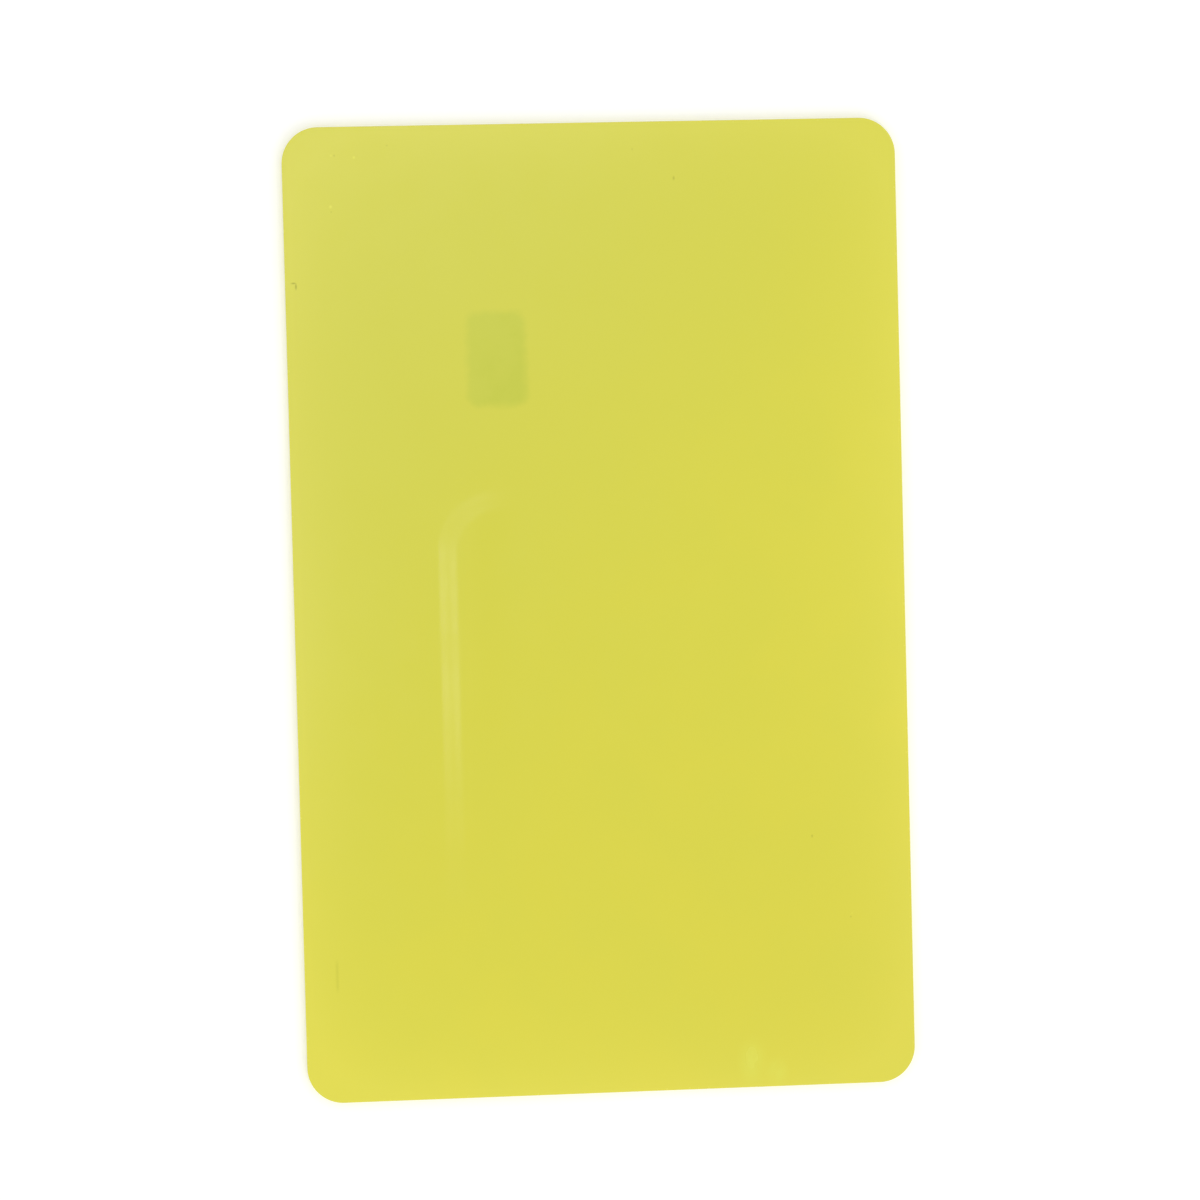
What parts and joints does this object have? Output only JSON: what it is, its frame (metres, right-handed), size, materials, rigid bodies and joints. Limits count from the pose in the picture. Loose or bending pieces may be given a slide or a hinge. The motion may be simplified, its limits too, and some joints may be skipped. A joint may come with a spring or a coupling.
{
  "type": "card squeegee",
  "caption": "Wallet-size plastic card with round corners and straight edges that smooth film down; fused sheets hold a wire coil and a chip module.",
  "frame": {"origin": "centre of the back face, on the surface that the card lies on", "axes": "+Y along the long side towards the chip module's end, +X across the card, +Z out of the front face"},
  "size_m": [0.054, 0.0856, 0.0008],
  "materials": {
    "clear_overlay": "polished clear film",
    "yellow_core": "translucent fluorescent yellow",
    "inlay_sheet": "satin translucent",
    "copper_wire": "enamelled copper",
    "plated_metal": "silver plated strip",
    "silicon": "polished silicon",
    "silver_adhesive": "cured paste",
    "gold_wire": "drawn gold",
    "black_epoxy": "moulded, fine matt"
  },
  "bodies": {
    "root": {"front_overlay": "clear_overlay", "front_core": "yellow_core", "cover_sheet": "inlay_sheet", "carrier_sheet": "inlay_sheet", "spacer_sheet": "inlay_sheet", "back_core": "yellow_core", "back_overlay": "clear_overlay", "antenna_wire": "copper_wire", "upper_terminal": "plated_metal", "lower_terminal": "plated_metal", "chip_die": "silicon", "die_adhesive": "silver_adhesive", "long_bond_wire": "gold_wire", "short_bond_wire": "gold_wire", "mould_cap": "black_epoxy"}
  },
  "joints": []
}
